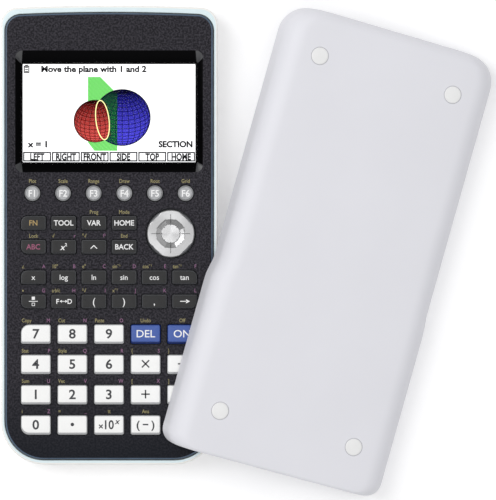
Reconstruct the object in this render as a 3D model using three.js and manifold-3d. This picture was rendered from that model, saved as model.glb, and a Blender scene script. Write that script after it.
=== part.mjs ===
// Graphing calculator lying on its back, with its slide-on hard cover leaning on its face.
// Millimetres, +X across the keys, +Y towards the display end, +Z up out of the keys.
// The origin is the middle of the rear case's flat back, which lies on the table.

import * as THREE from 'three';
import { mergeVertices } from 'three/addons/utils/BufferGeometryUtils.js';
import Module from 'manifold-3d';

const wasm = await Module();
wasm.setup();

// ---- driving dimensions ----------------------------------------------------------------

const GAP = 0.3;                  // room between two pieces that touch

const BODY = { width: 89, length: 188.5, bottomRadius: 18, topRadius: 7, topDome: 0.8 };
const RIM_TOP = 15.9;             // height of the pale rim around the face
const WALL = 1.55;
const FLOOR = 1.8;
const FOOT_BEVEL = 1.4;

const FACE = { width: 85.3, length: 183.4, shiftY: -0.4, top: 17.2, thick: 1.6, bevel: 0.8 };
const FACE_UNDER = FACE.top - FACE.thick;

const RECESS = { left: -38.5, right: 38.5, low: 25.8, high: 75.8 };       // mouth of the display recess
const GLASS = { left: -36.4, right: 36.4, low: 29.4, high: 71.1 };        // bottom of the recess
const WINDOW = { margin: 2.2, thick: 0.8 };
const LCD = { width: 79, length: 49, thick: 1.7 };

const KEY_FLANGE = { thick: 0.8, lip: 0.6 };
const KEY_CLEARANCE = 0.35;
const ROUND_KEY = { diameter: 6.6, top: 18.1, pitch: 12.57, y: 17.2, sides: 16 };
const SMALL_KEY = { width: 10.3, length: 5.8, top: 18.3, pitch: 12.4, rows: [5.0, -4.8, -17.3, -27.2] };
const BIG_KEY = { width: 12.3, length: 8.0, top: 18.6, pitch: 15.0, firstRow: -40.6, rowPitch: 12.43 };
const CORNER = { small: 0.8, smallWide: 2.6, big: 0.9, bigWide: 3.4 };

const PAD = { x: 25.3, y: 0.6, radius: 9.8, top: 18.4, flange: 11.2, flangeThick: 0.5, well: 10.4, sides: 24 };
const PIVOT = { radius: 2.4, room: 0.8, top: 15.2 };

const SHEET = { top: 13.0, thick: 1.0, width: 82, low: -87, high: 21.5 };
const BOARD = { thick: 1.2, width: 81, low: -86, high: 20.5, armLeft: 16, armHigh: 88 };

const CELL = { radius: 5.15, length: 43.3, cap: 1.9, capRadius: 2.6, nubLength: 1.2, count: 4, pitch: 10.7,
  sides: 16 };
const BAY = { x: -11, y: 47.5, width: 45.4, length: 51, wall: 1.0, top: 11.8 };
const BATTERY_COVER = { thick: 1.5, notchRadius: 6, notchDepth: 0.6 };

const USB = { x: 24, width: 7.7, length: 9, height: 3.9 };
const LINK = { x: 35, width: 5.6, length: 11, height: 4.6 };
const SCREWS = [[-34, 84], [39, 66], [-37, 14], [-34, -80], [34, -80]];
const BOSS = { radius: 2.6, hole: 1.2, headRadius: 2.3, headDepth: 1.2 };

// The cover lies with its feet up, one long rim on the keys and the other on the table.
const COVER = {
  width: 94.4, narrowing: 0.8, length: 187, depth: 15, wall: 1.6, round: 9, draft: 1.5,
  topCorner: 12, lowCorner: 6.5, endRound: 5, stepFrom: -12, stepTo: -26, turn: -15.7,
  faceX: 92.9, faceY: -6.85, restHeight: BIG_KEY.top + 2.5 * GAP,
  footX: 29, footY: 75, footRadius: 3.75, footRecess: 0.5,
};
const COVER_TILT = Math.asin(COVER.restHeight / COVER.width);

// ---- colours -----------------------------------------------------------------------------

const plastic = (color, roughness = 0.5) => new THREE.MeshStandardMaterial({ color, roughness, metalness: 0 });
const PAINT = {
  rim: plastic(0xf3f2ee), face: plastic(0x222329), whiteKey: plastic(0xf0f0ee), blueKey: plastic(0x3c55af),
  darkKey: plastic(0x1b1c20, 0.3), cover: plastic(0xdedee4, 0.6), rubber: plastic(0x77797e, 0.8),
  glass: plastic(0x0d0e10, 0.1), screen: plastic(0xe9ecef, 0.3), board: plastic(0x1f5a3a),
  silver: new THREE.MeshStandardMaterial({ color: 0xb9bcc1, roughness: 0.3, metalness: 0.6 }),
  cell: new THREE.MeshStandardMaterial({ color: 0x50545a, roughness: 0.4, metalness: 0.5 }),
};

// ---- solids --------------------------------------------------------------------------------

function solidOf(geometry) {
  const bare = geometry.clone();
  bare.deleteAttribute('normal');
  bare.deleteAttribute('uv');
  const merged = mergeVertices(bare, 1e-4);
  return new wasm.Manifold(new wasm.Mesh({
    numProp: 3,
    vertProperties: new Float32Array(merged.attributes.position.array),
    triVerts: new Uint32Array(merged.index.array),
  }));
}

function geometryOf(solid) {
  const { vertProperties, triVerts } = solid.getMesh();
  const geometry = new THREE.BufferGeometry();
  geometry.setAttribute('position', new THREE.BufferAttribute(new Float32Array(vertProperties), 3));
  geometry.setIndex(new THREE.BufferAttribute(new Uint32Array(triVerts), 1));
  geometry.computeVertexNormals();
  return geometry;
}

function box(x0, x1, y0, y1, z0, z1) {
  const geometry = new THREE.BoxGeometry(x1 - x0, y1 - y0, z1 - z0);
  geometry.translate((x0 + x1) / 2, (y0 + y1) / 2, (z0 + z1) / 2);
  return solidOf(geometry);
}

function rod(radius, z0, z1, sides, x = 0, y = 0) {
  const geometry = new THREE.CylinderGeometry(radius, radius, z1 - z0, sides);
  geometry.rotateX(Math.PI / 2).translate(x, y, (z0 + z1) / 2);
  return solidOf(geometry);
}

function slab(shape, z0, z1, curveSegments) {
  const geometry = new THREE.ExtrudeGeometry(shape, { depth: z1 - z0, bevelEnabled: false, curveSegments });
  geometry.translate(0, 0, z0);
  return solidOf(geometry);
}

// A slab whose outline draws in by `bevel` over its last `bevel` of height, at the top or the bottom.
function bevelledSlab(shape, z0, z1, bevel, curveSegments, atTop = true) {
  const geometry = new THREE.ExtrudeGeometry(shape, {
    depth: z1 - z0 - bevel, bevelThickness: bevel, bevelSize: bevel, bevelOffset: -bevel,
    bevelSegments: 1, curveSegments,
  });
  geometry.translate(0, 0, atTop ? z0 : z0 + bevel);
  const size = 300;
  const cut = atTop ? box(-size, size, -size, size, z0 - 5, z0) : box(-size, size, -size, size, z1, z1 + 5);
  return solidOf(geometry).subtract(cut);
}

// A four-sided funnel between two level rectangles, each { left, right, low, high }.
function funnel(lower, z0, upper, z1) {
  const ring = (r, z) => [[r.left, r.low, z], [r.right, r.low, z], [r.right, r.high, z], [r.left, r.high, z]];
  const geometry = new THREE.BufferGeometry();
  geometry.setAttribute('position',
    new THREE.BufferAttribute(new Float32Array([...ring(lower, z0), ...ring(upper, z1)].flat()), 3));
  const faces = [0, 2, 1, 0, 3, 2, 4, 5, 6, 4, 6, 7];
  for (let i = 0; i < 4; i++) {
    const j = (i + 1) % 4;
    faces.push(i, j, j + 4, i, j + 4, i + 4);
  }
  geometry.setIndex(faces);
  return solidOf(geometry);
}

// A rectangle with its own radius at each corner: top left, top right, bottom right, bottom left.
function roundedRectangle(width, length, [tl, tr, br, bl], x = 0, y = 0) {
  const [left, right, low, high] = [x - width / 2, x + width / 2, y - length / 2, y + length / 2];
  const quarter = Math.PI / 2;
  const shape = new THREE.Shape();
  shape.absarc(right - br, low + br, br, -quarter, 0);
  shape.absarc(right - tr, high - tr, tr, 0, quarter);
  shape.absarc(left + tl, high - tl, tl, quarter, 2 * quarter);
  shape.absarc(left + bl, low + bl, bl, 2 * quarter, 3 * quarter);
  return shape;
}

// The calculator's outline: small corners and a shallow dome at the display end, large corners at the other.
function bodyOutline(width, length, topRadius, bottomRadius, centreY = 0) {
  const [half, low, high] = [width / 2, centreY - length / 2, centreY + length / 2];
  const shoulder = high - BODY.topDome;
  const quarter = Math.PI / 2;
  const shape = new THREE.Shape();
  shape.absarc(half - bottomRadius, low + bottomRadius, bottomRadius, -quarter, 0);
  shape.absarc(half - topRadius, shoulder - topRadius, topRadius, 0, quarter);
  shape.quadraticCurveTo(0, high + BODY.topDome, topRadius - half, shoulder);
  shape.absarc(topRadius - half, shoulder - topRadius, topRadius, quarter, 2 * quarter);
  shape.absarc(bottomRadius - half, low + bottomRadius, bottomRadius, 2 * quarter, 3 * quarter);
  return shape;
}

// ---- the keys --------------------------------------------------------------------------------

const NARROW = [0, 0, 0, 0];

function smallKey(name, column, row, wide = NARROW) {
  return {
    name, x: (column - 2.5) * SMALL_KEY.pitch, y: SMALL_KEY.rows[row], width: SMALL_KEY.width,
    length: SMALL_KEY.length, top: SMALL_KEY.top, paint: PAINT.darkKey,
    corners: wide.map((w) => (w ? CORNER.smallWide : CORNER.small)),
  };
}

function bigKey(name, column, row, paint = PAINT.whiteKey, wide = NARROW) {
  return {
    name, x: (column - 2) * BIG_KEY.pitch, y: BIG_KEY.firstRow - row * BIG_KEY.rowPitch,
    width: BIG_KEY.width, length: BIG_KEY.length, top: BIG_KEY.top, paint,
    corners: wide.map((w) => (w ? CORNER.bigWide : CORNER.big)),
  };
}

const smallRows = [
  ['shift', 'options', 'variables', 'menu'],
  ['alpha', 'square', 'power', 'exit'],
  ['variable_x', 'log', 'ln', 'sin', 'cos', 'tan'],
  ['fraction', 'convert', 'paren_open', 'paren_close', 'comma', 'store'],
];
const smallWide = { shift: [1, 0, 0, 0], alpha: [0, 0, 0, 1], variable_x: [1, 0, 0, 0], fraction: [0, 0, 0, 1],
  tan: [0, 1, 0, 0], store: [0, 0, 1, 0] };
const bigRows = [
  ['7', '8', '9', 'delete', 'on'],
  ['4', '5', '6', 'times', 'divide'],
  ['1', '2', '3', 'plus', 'minus'],
  ['0', 'point', 'exponent', 'negative', 'enter'],
];
const bigWide = { 7: [1, 0, 0, 0], 0: [0, 0, 0, 1], on: [0, 1, 0, 0], enter: [0, 0, 1, 0] };
const blueKeys = ['delete', 'on'];

const keys = [
  ...smallRows.flatMap((row, r) => row.map((name, c) => smallKey(name, c, r, smallWide[name]))),
  ...bigRows.flatMap((row, r) => row.map((name, c) =>
    bigKey(name, c, r, blueKeys.includes(name) ? PAINT.blueKey : PAINT.whiteKey, bigWide[name]))),
];
const roundKeys = [1, 2, 3, 4, 5, 6].map((n) => ({ name: `f${n}`, x: (n - 3.5) * ROUND_KEY.pitch, y: ROUND_KEY.y }));

const FLANGE_TOP = FACE_UNDER - GAP;
const FLANGE_BOTTOM = FLANGE_TOP - KEY_FLANGE.thick;

function keyOutline(key, grow) {
  return roundedRectangle(key.width + 2 * grow, key.length + 2 * grow, key.corners.map((r) => r + grow), key.x, key.y);
}

function keySolid(key) {
  const cap = bevelledSlab(keyOutline(key, 0), FLANGE_BOTTOM, key.top, 0.4, 2);
  const { width, length } = key;
  const lip = KEY_FLANGE.lip;
  return cap.add(box(key.x - width / 2 - lip, key.x + width / 2 + lip, key.y - length / 2 - lip,
    key.y + length / 2 + lip, FLANGE_BOTTOM, FLANGE_TOP));
}

function roundKeySolid(key) {
  const radius = ROUND_KEY.diameter / 2;
  const flange = radius + KEY_FLANGE.lip;
  const profile = [[0, FLANGE_BOTTOM], [flange, FLANGE_BOTTOM], [flange, FLANGE_TOP], [radius, FLANGE_TOP],
    [radius, ROUND_KEY.top - 0.4], [radius - 0.5, ROUND_KEY.top], [0, ROUND_KEY.top]];
  const geometry = new THREE.LatheGeometry(profile.map(([r, z]) => new THREE.Vector2(r, z)), ROUND_KEY.sides);
  geometry.rotateX(Math.PI / 2).translate(key.x, key.y, 0);
  return solidOf(geometry);
}

// ---- cursor pad ------------------------------------------------------------------------------

function cursorPad() {
  const bottom = FLANGE_BOTTOM - 0.6;
  const shelf = bottom + PAD.flangeThick;
  const bore = PIVOT.radius + PIVOT.room;
  const profile = [[bore, bottom], [PAD.flange, bottom], [PAD.flange, shelf], [PAD.radius, shelf],
    [PAD.radius, PAD.top - 1.2], [PAD.radius - 1.6, PAD.top], [6.2, PAD.top - 0.3], [5.4, PAD.top - 0.9],
    [4.2, PAD.top - 0.9], [3.4, PAD.top - 0.3], [0, PAD.top - 0.1], [0, PIVOT.top + 0.4],
    [bore, PIVOT.top + 0.4], [bore, bottom]];
  const geometry = new THREE.LatheGeometry(profile.map(([r, z]) => new THREE.Vector2(r, z)), PAD.sides);
  geometry.rotateX(Math.PI / 2).translate(PAD.x, PAD.y, 0);
  return solidOf(geometry);
}

// ---- front case, display and boards ------------------------------------------------------------

function frontCase() {
  const outline = bodyOutline(FACE.width, FACE.length, BODY.topRadius - 0.5, BODY.bottomRadius - 2, FACE.shiftY);
  let solid = bevelledSlab(outline, FACE_UNDER, FACE.top, FACE.bevel, 8);
  solid = solid.subtract(funnel(GLASS, FACE_UNDER, RECESS, FACE.top));
  solid = solid.subtract(box(GLASS.left, GLASS.right, GLASS.low, GLASS.high, FACE_UNDER - 1, FACE.top));
  for (const key of keys) {
    solid = solid.subtract(slab(keyOutline(key, KEY_CLEARANCE), FACE_UNDER - 1, FACE.top + 1, 2));
  }
  for (const key of roundKeys) {
    const hole = ROUND_KEY.diameter / 2 + KEY_CLEARANCE;
    solid = solid.subtract(rod(hole, FACE_UNDER - 1, FACE.top + 1, ROUND_KEY.sides, key.x, key.y));
  }
  return solid.subtract(rod(PAD.well, FACE_UNDER - 1, FACE.top + 1, PAD.sides, PAD.x, PAD.y));
}

const WINDOW_TOP = FACE_UNDER - GAP;
const LCD_TOP = WINDOW_TOP - WINDOW.thick - GAP;
const GLASS_Y = (GLASS.low + GLASS.high) / 2;

function displayWindow() {
  const m = WINDOW.margin;
  return box(GLASS.left - m, GLASS.right + m, GLASS.low - m, GLASS.high + m, WINDOW_TOP - WINDOW.thick, WINDOW_TOP);
}

function lcdModule() {
  return box(-LCD.width / 2, LCD.width / 2, GLASS_Y - LCD.length / 2, GLASS_Y + LCD.length / 2,
    LCD_TOP - LCD.thick, LCD_TOP);
}

function keypadSheet() {
  return slab(roundedRectangle(SHEET.width, SHEET.high - SHEET.low, [2, 2, 15, 15], 0, (SHEET.high + SHEET.low) / 2),
    SHEET.top - SHEET.thick, SHEET.top, 4);
}

const BOARD_TOP = SHEET.top - SHEET.thick - GAP;

function circuitBoard() {
  const bottom = BOARD_TOP - BOARD.thick;
  const main = slab(roundedRectangle(BOARD.width, BOARD.high - BOARD.low, [2, 2, 15, 15], 0,
    (BOARD.high + BOARD.low) / 2), bottom, BOARD_TOP, 4);
  const arm = box(BOARD.armLeft, BOARD.width / 2, BOARD.high - 5, BOARD.armHigh, bottom, BOARD_TOP);
  const socket = (s) => box(s.x - s.width / 2, s.x + s.width / 2, BOARD.armHigh - s.length + 2, BOARD.armHigh + 2,
    bottom - s.height, bottom + 0.1);
  return main.add(arm).add(socket(USB)).add(socket(LINK));
}

// ---- rear case and what it holds -----------------------------------------------------------------

function rearCase() {
  const outer = bodyOutline(BODY.width, BODY.length, BODY.topRadius, BODY.bottomRadius);
  const inner = bodyOutline(BODY.width - 2 * WALL, FACE.length + 0.6, BODY.topRadius - 0.5, BODY.bottomRadius - 1.8,
    FACE.shiftY);
  let solid = bevelledSlab(outer, 0, RIM_TOP, FOOT_BEVEL, 8, false);
  solid = solid.subtract(slab(inner, FLOOR, RIM_TOP + 1, 8));
  const bay = { left: BAY.x - BAY.width / 2, right: BAY.x + BAY.width / 2,
    low: BAY.y - BAY.length / 2, high: BAY.y + BAY.length / 2 };
  const frame = box(bay.left - BAY.wall, bay.right + BAY.wall, bay.low - BAY.wall, bay.high + BAY.wall,
    FLOOR - 0.5, BAY.top);
  solid = solid.add(frame).subtract(box(bay.left, bay.right, bay.low, bay.high, -1, BAY.top + 1));
  const bossTop = BOARD_TOP - BOARD.thick - GAP;
  for (const [x, y] of SCREWS) {
    solid = solid.add(rod(BOSS.radius, FLOOR - 0.5, bossTop, 12, x, y));
    solid = solid.subtract(rod(BOSS.headRadius, -1, BOSS.headDepth, 16, x, y));
    solid = solid.subtract(rod(BOSS.hole, -1, bossTop - 1, 12, x, y));
  }
  const portBottom = BOARD_TOP - BOARD.thick;
  for (const port of [USB, LINK]) {
    solid = solid.subtract(box(port.x - port.width / 2 - GAP, port.x + port.width / 2 + GAP, 85, 99,
      portBottom - port.height - GAP, portBottom + GAP));
  }
  return solid;
}

function batteryCover() {
  const [halfX, halfY] = [BAY.width / 2 - GAP, BAY.length / 2 - GAP];
  const plate = box(BAY.x - halfX, BAY.x + halfX, BAY.y - halfY, BAY.y + halfY, 0, BATTERY_COVER.thick);
  const notch = rod(BATTERY_COVER.notchRadius, -1, BATTERY_COVER.notchDepth, 20, BAY.x, BAY.y + halfY - 1);
  return plate.subtract(notch);
}

const CELL_AXIS_Z = BATTERY_COVER.thick + 0.25 + CELL.radius;

function batteryCell(index) {
  const profile = [[0, 0], [CELL.radius - 0.3, 0], [CELL.radius, 0.3], [CELL.radius, CELL.length - 0.4],
    [CELL.radius - 0.4, CELL.length], [CELL.cap, CELL.length], [CELL.cap, CELL.length + CELL.nubLength],
    [0, CELL.length + CELL.nubLength]];
  const geometry = new THREE.LatheGeometry(profile.map(([r, y]) => new THREE.Vector2(r, y)), CELL.sides);
  geometry.translate(0, -(CELL.length + CELL.nubLength) / 2, 0);
  if (index % 2) geometry.rotateZ(Math.PI);
  const x = BAY.x + (index - (CELL.count - 1) / 2) * CELL.pitch;
  geometry.translate(x, BAY.y, CELL_AXIS_Z);
  return solidOf(geometry);
}

// ---- slide-on cover ---------------------------------------------------------------------------------

// Section across the cover: two leaning walls, two large round shoulders and a flat face.
function coverSection(inset) {
  const half = COVER.width / 2 - inset;
  const shoulder = half - COVER.draft;
  const top = COVER.depth - inset;
  const r = COVER.round - inset;
  const shape = new THREE.Shape();
  const below = inset ? 2 : 0;
  shape.moveTo(-half, -below);
  shape.lineTo(half, -below);
  shape.absarc(shoulder - r, top - r, r, 0, Math.PI / 2);
  shape.absarc(r - shoulder, top - r, r, Math.PI / 2, Math.PI);
  return shape;
}

// Plan of the cover: the lower part stands out a little further, past a soft step.
function coverPlan(inset) {
  const wide = COVER.width / 2 - inset;
  const narrow = wide - COVER.narrowing;
  const high = COVER.length / 2 - inset;
  const low = -COVER.length / 2 - (inset ? 2 : 0);
  const { stepFrom, stepTo } = COVER;
  const step = (stepFrom - stepTo) / 2;
  const tc = COVER.topCorner - inset;
  const lc = inset ? 0.5 : COVER.lowCorner;
  const shape = new THREE.Shape();
  shape.absarc(wide - lc, low + lc, lc, -Math.PI / 2, 0);
  shape.bezierCurveTo(wide, stepTo + step, narrow, stepFrom - step, narrow, stepFrom);
  shape.absarc(narrow - tc, high - tc, tc, 0, Math.PI / 2);
  shape.absarc(tc - narrow, high - tc, tc, Math.PI / 2, Math.PI);
  shape.lineTo(-narrow, stepFrom);
  shape.bezierCurveTo(-narrow, stepFrom - step, -wide, stepTo + step, -wide, stepTo);
  shape.absarc(lc - wide, low + lc, lc, Math.PI, Math.PI * 1.5);
  return shape;
}

// Section along the cover: a round shoulder at the closed end only.
function coverLength(inset) {
  const high = COVER.length / 2 - inset;
  const low = -COVER.length / 2 - (inset ? 2 : 0);
  const top = COVER.depth - inset;
  const r = COVER.endRound - inset;
  const below = inset ? 2 : 0;
  const shape = new THREE.Shape();
  shape.moveTo(low, -below);
  shape.lineTo(high, -below);
  shape.absarc(high - r, top - r, r, 0, Math.PI / 2);
  shape.lineTo(low, top);
  return shape;
}

function coverBlock(inset) {
  const extrude = (shape, depth, curveSegments) =>
    new THREE.ExtrudeGeometry(shape, { depth, bevelEnabled: false, curveSegments }).translate(0, 0, -depth / 2);
  const across = extrude(coverSection(inset), COVER.length + 20, 6);
  across.rotateX(Math.PI / 2);
  const along = extrude(coverLength(inset), COVER.width + 20, 4);
  along.rotateX(Math.PI / 2).rotateZ(Math.PI / 2);
  const plan = extrude(coverPlan(inset), 4 * COVER.depth, 6);
  return solidOf(across).intersect(solidOf(along)).intersect(solidOf(plan));
}

function slideCover() {
  let solid = coverBlock(0).subtract(coverBlock(COVER.wall));
  for (const sx of [-1, 1]) {
    for (const sy of [-1, 1]) {
      solid = solid.subtract(rod(COVER.footRadius, COVER.depth - COVER.footRecess, COVER.depth + 1, 16,
        sx * COVER.footX, sy * COVER.footY));
    }
  }
  return solid;
}

// ---- assembly ---------------------------------------------------------------------------------------

const calculator = new THREE.Group();

function add(name, solid, material, parent = calculator) {
  const mesh = new THREE.Mesh(geometryOf(solid), material.clone());
  mesh.name = name;
  parent.add(mesh);
  return mesh;
}

add('rear_case', rearCase(), PAINT.rim);
add('front_case', frontCase(), PAINT.face);
add('display_window', displayWindow(), PAINT.glass);
add('lcd_module', lcdModule(), PAINT.screen);
add('keypad_sheet', keypadSheet(), PAINT.rubber);
add('circuit_board', circuitBoard(), PAINT.board);
add('battery_cover', batteryCover(), PAINT.rim);
for (let i = 0; i < CELL.count; i++) add(`battery_${i + 1}`, batteryCell(i), PAINT.cell);
for (const key of roundKeys) add(`key_${key.name}`, roundKeySolid(key), PAINT.silver);
for (const key of keys) add(`key_${key.name}`, keySolid(key), key.paint);
add('cursor_pad', cursorPad(), PAINT.silver);
add('cursor_pivot', rod(PIVOT.radius, SHEET.top + GAP, PIVOT.top, 20, PAD.x, PAD.y), PAINT.silver);

const coverPlace = new THREE.Group();
const turn = THREE.MathUtils.degToRad(COVER.turn);
const lean = COVER.depth * Math.sin(COVER_TILT);
coverPlace.position.set(COVER.faceX - lean * Math.cos(turn), COVER.faceY - lean * Math.sin(turn),
  COVER.width / 2 * Math.sin(COVER_TILT));
coverPlace.rotation.set(0, COVER_TILT, turn, 'ZYX');
calculator.add(coverPlace);
add('slide_cover', slideCover(), PAINT.cover, coverPlace);

export default calculator;
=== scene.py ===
import math

import bpy
from mathutils import Matrix, Vector


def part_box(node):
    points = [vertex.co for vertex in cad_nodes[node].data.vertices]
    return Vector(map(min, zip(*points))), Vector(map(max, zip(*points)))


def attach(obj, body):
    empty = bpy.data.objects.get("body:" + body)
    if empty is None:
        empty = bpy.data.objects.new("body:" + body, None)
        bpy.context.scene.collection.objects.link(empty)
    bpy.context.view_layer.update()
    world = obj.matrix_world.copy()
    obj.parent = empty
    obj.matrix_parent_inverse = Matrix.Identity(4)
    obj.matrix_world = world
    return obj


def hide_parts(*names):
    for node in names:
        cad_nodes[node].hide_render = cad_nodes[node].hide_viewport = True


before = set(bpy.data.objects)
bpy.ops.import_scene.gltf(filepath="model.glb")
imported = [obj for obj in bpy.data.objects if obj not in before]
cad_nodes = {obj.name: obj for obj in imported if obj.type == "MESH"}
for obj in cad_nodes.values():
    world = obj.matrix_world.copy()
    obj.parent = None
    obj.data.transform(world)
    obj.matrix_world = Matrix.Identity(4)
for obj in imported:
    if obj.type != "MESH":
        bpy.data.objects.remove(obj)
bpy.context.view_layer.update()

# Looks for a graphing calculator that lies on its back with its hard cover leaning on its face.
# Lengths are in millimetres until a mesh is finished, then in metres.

MM = 0.001

# ---- driving dimensions (millimetres) ------------------------------------------------------------

KEY_LIP = 0.6                # the CAD key's flange stands out this far past its cap
KEY_ROOM = 0.3               # gap between a cap and the edge of its well
SMALL_CORNER, SMALL_WIDE = 0.8, 2.6
BIG_CORNER, BIG_WIDE = 0.9, 3.4
BODY_RADII, FACE_RADII, BODY_DOME = (7.0, 18.0), (6.5, 16.0), 0.8
FACE_THICK = 1.6
RECESS_SLOPES = {"side": 2.1, "top": 4.7, "bottom": 3.6}
WINDOW_MARGIN = 2.2
COVER = {"width": 94.4, "narrowing": (1.5, 0.7), "length": 187.0, "depth": 15.0, "wall": 1.6, "round": 9.0,
         "draft": 1.5, "top_corner": 12.0, "low_corner": 6.5, "end_round": 5.0, "low_round": 1.1,
         "step_from": -14.0, "step_to": -24.0, "turn": -15.7, "rest": 19.35, "foot_x": 29.0, "foot_y": 75.0, "foot": 3.75}


def node_box(name):
    """A CAD node's lowest and highest corners, in millimetres."""
    low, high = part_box(name)
    return low / MM, high / MM


# ---- procedural materials ------------------------------------------------------------------------

def srgb(r, g, b):
    def linear(value):
        value /= 255
        return value / 12.92 if value <= 0.04045 else ((value + 0.055) / 1.055) ** 2.4
    return (linear(r), linear(g), linear(b), 1.0)


def noise(tree, coordinates, size_mm, detail=2.0):
    node = tree.nodes.new("ShaderNodeTexNoise")
    node.inputs["Scale"].default_value = 1.0 / (size_mm * MM)
    node.inputs["Detail"].default_value = detail
    tree.links.new(coordinates, node.inputs["Vector"])
    return node


def surface(name, colour, rough=0.5, vary=0.08, vary_size=6.0, grain=0.35, bump=0.05, metallic=0.0, coat=0.0,
            specular=0.5, fleck=None, fade=None):
    """Moulded or printed surface: mottled colour, uneven roughness and a fine grain in the bump."""
    material = bpy.data.materials.new(name)
    material.use_nodes = True
    tree = material.node_tree
    shader = tree.nodes["Principled BSDF"]
    shader.inputs["Metallic"].default_value = metallic
    shader.inputs["Specular IOR Level"].default_value = specular
    shader.inputs["Coat Weight"].default_value = coat
    shader.inputs["Coat Roughness"].default_value = 0.12
    coordinates = tree.nodes.new("ShaderNodeTexCoord").outputs["Object"]

    broad = noise(tree, coordinates, vary_size)
    fine = noise(tree, coordinates, grain, 3.0)
    ramp = tree.nodes.new("ShaderNodeValToRGB")
    ramp.color_ramp.elements[0].position = 0.3
    ramp.color_ramp.elements[1].position = 0.7
    ramp.color_ramp.elements[0].color = [c * (1 - vary) for c in colour[:3]] + [1]
    ramp.color_ramp.elements[1].color = [min(1, c * (1 + vary)) for c in colour[:3]] + [1]
    tree.links.new(broad.outputs["Fac"], ramp.inputs["Fac"])
    result = ramp.outputs["Color"]
    if fleck:
        speck = tree.nodes.new("ShaderNodeValToRGB")
        speck.color_ramp.elements[0].position = 0.42
        speck.color_ramp.elements[1].position = 0.62
        speck.color_ramp.elements[0].color = (0, 0, 0, 1)
        speck.color_ramp.elements[1].color = (1, 1, 1, 1)
        tree.links.new(fine.outputs["Fac"], speck.inputs["Fac"])
        mix = tree.nodes.new("ShaderNodeMix")
        mix.data_type = "RGBA"
        mix.inputs["B"].default_value = fleck
        tree.links.new(speck.outputs["Color"], mix.inputs["Factor"])
        tree.links.new(result, mix.inputs["A"])
        result = mix.outputs["Result"]
    if fade:
        shade, low_mm, high_mm = fade
        split = tree.nodes.new("ShaderNodeSeparateXYZ")
        tree.links.new(coordinates, split.inputs["Vector"])
        along = tree.nodes.new("ShaderNodeMapRange")
        along.inputs["From Min"].default_value = low_mm * MM
        along.inputs["From Max"].default_value = high_mm * MM
        along.inputs["To Min"].default_value = 0.8
        along.inputs["To Max"].default_value = 0.0
        tree.links.new(split.outputs["Y"], along.inputs["Value"])
        darker = tree.nodes.new("ShaderNodeMix")
        darker.data_type = "RGBA"
        darker.inputs["B"].default_value = shade
        tree.links.new(along.outputs["Result"], darker.inputs["Factor"])
        tree.links.new(result, darker.inputs["A"])
        result = darker.outputs["Result"]
    tree.links.new(result, shader.inputs["Base Color"])

    uneven = tree.nodes.new("ShaderNodeMapRange")
    uneven.inputs["To Min"].default_value = max(0.02, rough - 0.07)
    uneven.inputs["To Max"].default_value = min(1.0, rough + 0.07)
    tree.links.new(broad.outputs["Fac"], uneven.inputs["Value"])
    tree.links.new(uneven.outputs["Result"], shader.inputs["Roughness"])

    relief = tree.nodes.new("ShaderNodeBump")
    relief.inputs["Strength"].default_value = bump
    relief.inputs["Distance"].default_value = 0.1 * MM
    tree.links.new(fine.outputs["Fac"], relief.inputs["Height"])
    tree.links.new(relief.outputs["Normal"], shader.inputs["Normal"])
    return material


def glow(name, top, bottom, low_mm, high_mm, strength=1.0, stripe=0.35, depth=0.06):
    """A lit patch of the display: a colour that runs from bottom to top, under faint slanting lines."""
    material = surface(name, bottom, rough=0.7, vary=0.0, bump=0.0, specular=0.0)
    tree = material.node_tree
    shader = tree.nodes["Principled BSDF"]
    coordinates = tree.nodes.new("ShaderNodeTexCoord").outputs["Object"]
    split = tree.nodes.new("ShaderNodeSeparateXYZ")
    tree.links.new(coordinates, split.inputs["Vector"])
    along = tree.nodes.new("ShaderNodeMapRange")
    along.inputs["From Min"].default_value = low_mm * MM
    along.inputs["From Max"].default_value = high_mm * MM
    tree.links.new(split.outputs["Y"], along.inputs["Value"])
    mix = tree.nodes.new("ShaderNodeMix")
    mix.data_type = "RGBA"
    mix.inputs["A"].default_value = bottom
    mix.inputs["B"].default_value = top
    tree.links.new(along.outputs["Result"], mix.inputs["Factor"])
    wave = tree.nodes.new("ShaderNodeTexWave")
    wave.bands_direction = "DIAGONAL"
    wave.inputs["Scale"].default_value = 1 / (stripe * MM) / 6
    tree.links.new(coordinates, wave.inputs["Vector"])
    rows = tree.nodes.new("ShaderNodeMix")
    rows.data_type = "RGBA"
    middle = [(a + b) / 2 for a, b in zip(top[:3], bottom[:3])]
    rows.inputs["B"].default_value = [c * (1 - depth) for c in middle] + [1]
    faint = tree.nodes.new("ShaderNodeMapRange")
    faint.inputs["To Max"].default_value = min(1.0, depth * 3)
    tree.links.new(wave.outputs["Fac"], faint.inputs["Value"])
    tree.links.new(faint.outputs["Result"], rows.inputs["Factor"])
    tree.links.new(mix.outputs["Result"], rows.inputs["A"])
    result = rows.outputs["Result"]
    tree.links.new(result, shader.inputs["Base Color"])
    tree.links.new(result, shader.inputs["Emission Color"])
    shader.inputs["Emission Strength"].default_value = strength
    material.cycles.emission_sampling = "NONE"
    return material


def clear_window(name):
    material = surface(name, srgb(20, 20, 24), rough=0.08, vary=0.02, bump=0.0)
    material.node_tree.nodes["Principled BSDF"].inputs["Alpha"].default_value = 0.06
    return material


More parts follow.
